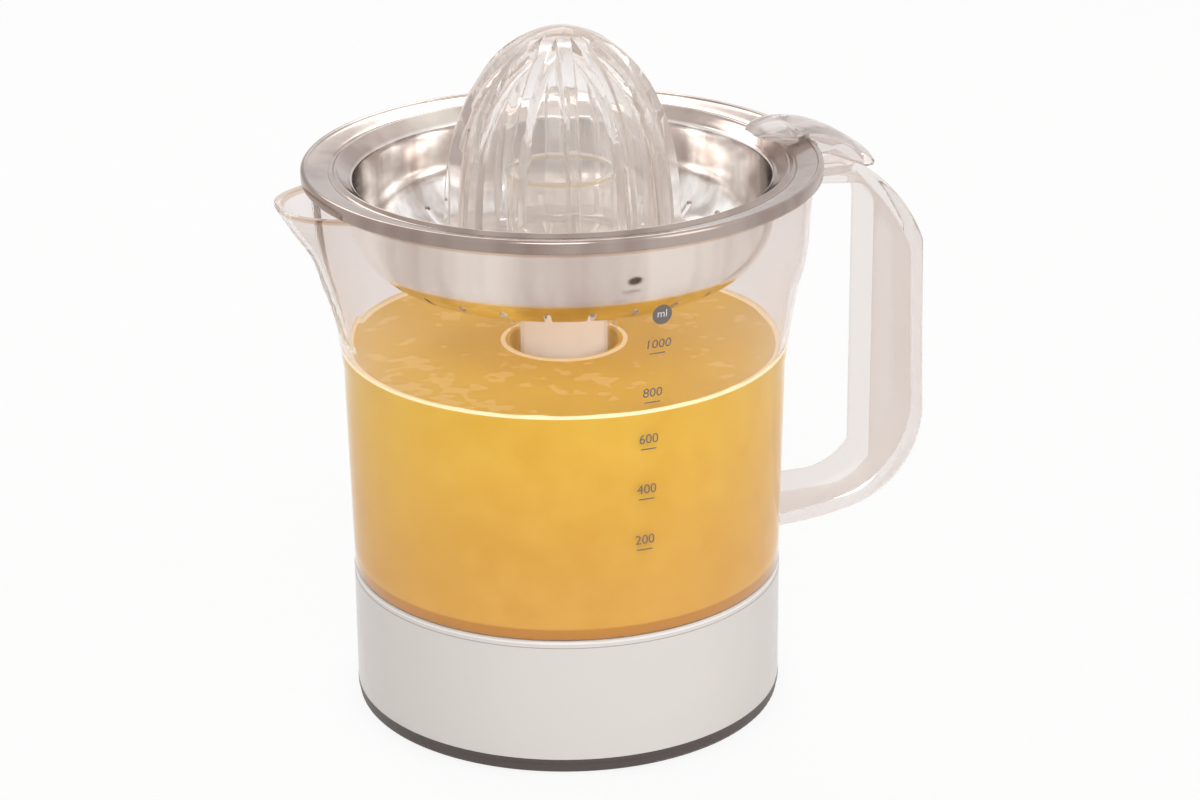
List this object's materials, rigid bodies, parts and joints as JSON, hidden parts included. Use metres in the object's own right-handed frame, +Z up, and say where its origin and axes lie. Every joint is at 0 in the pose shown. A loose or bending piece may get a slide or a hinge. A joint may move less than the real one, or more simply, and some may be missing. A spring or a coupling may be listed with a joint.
{
  "type": "citrus press juicer",
  "caption": "Electric citrus press: finned reamer cone over a steel strainer bowl on a clear jug with spout and handle, standing on a geared motor base.",
  "frame": {"origin": "on the drive axis, at the surface the juicer stands on", "axes": "+Z up along the drive axis, +X towards the jug's handle, -X towards the spout, +Y towards the cord outlet"},
  "size_m": [0.2129, 0.16, 0.218],
  "materials": {
    "white_shell": "smooth gloss white moulding",
    "dark_plastic": "dark grey matte moulding",
    "foot_rubber": "soft matte rubber",
    "screw_steel": "plated steel",
    "zinc_steel": "zinc plated sheet",
    "copper_coil": "enamelled copper winding",
    "magnet": "ferrite magnet",
    "gear_nylon": "natural acetal",
    "switch_black": "black moulding",
    "switch_red": "red moulding",
    "white_hub": "creamy white moulding",
    "clear_jug": "clear plastic, polished",
    "clear_cone": "clear plastic, polished",
    "bowl_steel": "polished stainless sheet"
  },
  "bodies": {
    "base": {"base_housing": "white_shell", "bottom_cover": "dark_plastic", "foot_ring": "foot_rubber", "case_screws": "screw_steel", "cord_gland": "dark_plastic", "motor_can": "zinc_steel", "stator_coil": "copper_coil", "gear_plate": "zinc_steel", "motor_screws": "screw_steel", "idler_pin": "screw_steel", "gear_cover": "zinc_steel", "start_switch": "switch_black", "spindle_bush": "white_hub", "spindle_seal": "foot_rubber"},
    "rotor": {"rotor": "magnet", "motor_pinion": "gear_nylon"},
    "idler": {"idler_gear": "gear_nylon"},
    "output": {"output_gear": "gear_nylon", "return_spring": "screw_steel"},
    "plunger": {"switch_plunger": "switch_red"},
    "spindle": {"spindle": "white_hub"},
    "drive_shaft": {"drive_shaft": "white_hub"},
    "cone": {"cone": "clear_cone"},
    "jug": {"jug": "clear_jug", "jug_handle": "clear_jug"},
    "strainer": {"strainer_bowl": "bowl_steel", "strainer_hub": "white_hub", "strainer_tab": "clear_cone", "tab_rivets": "screw_steel"}
  },
  "joints": [
    {"name": "output_spin", "type": "hinge", "parent": "base", "child": "output", "pos_m": [0, 0, 0.05], "axis": [0, 0, 1], "continuous": true},
    {"name": "idler_spin", "type": "hinge", "parent": "base", "child": "idler", "pos_m": [0, 0.0224, 0.045], "axis": [0, 0, 1], "continuous": true},
    {"name": "rotor_spin", "type": "hinge", "parent": "base", "child": "rotor", "pos_m": [0, 0, 0.03], "axis": [0, 0, 1], "continuous": true},
    {"name": "spindle_press", "type": "slide", "parent": "output", "child": "spindle", "axis": [0, 0, 1], "range_m": [-0.0025, 0], "stiffness_N_per_m": 3000, "springref_m": 0.0025, "deforming": ["return_spring"]},
    {"name": "plunger_press", "type": "slide", "parent": "base", "child": "plunger", "axis": [0, 0, 1], "range_m": [-0.0025, 0]},
    {"name": "shaft_lift", "type": "slide", "parent": "spindle", "child": "drive_shaft", "axis": [0, 0, 1], "range_m": [0, 0.06]},
    {"name": "cone_lift", "type": "slide", "parent": "drive_shaft", "child": "cone", "axis": [0, 0, 1], "range_m": [0, 0.12]},
    {"name": "jug_lift", "type": "slide", "parent": "base", "child": "jug", "axis": [0, 0, 1], "range_m": [0, 0.06]},
    {"name": "strainer_lift", "type": "slide", "parent": "jug", "child": "strainer", "axis": [0, 0, 1], "range_m": [0, 0.054]}
  ],
  "couplings": [
    {"joint": "idler_spin", "follows": "output_spin", "ratio": -3},
    {"joint": "rotor_spin", "follows": "output_spin", "ratio": 9},
    {"joint": "plunger_press", "follows": "spindle_press", "ratio": 1},
    {"joint": "shaft_lift", "follows": "jug_lift", "ratio": 1},
    {"joint": "strainer_lift", "follows": "cone_lift", "ratio": 0.45}
  ]
}
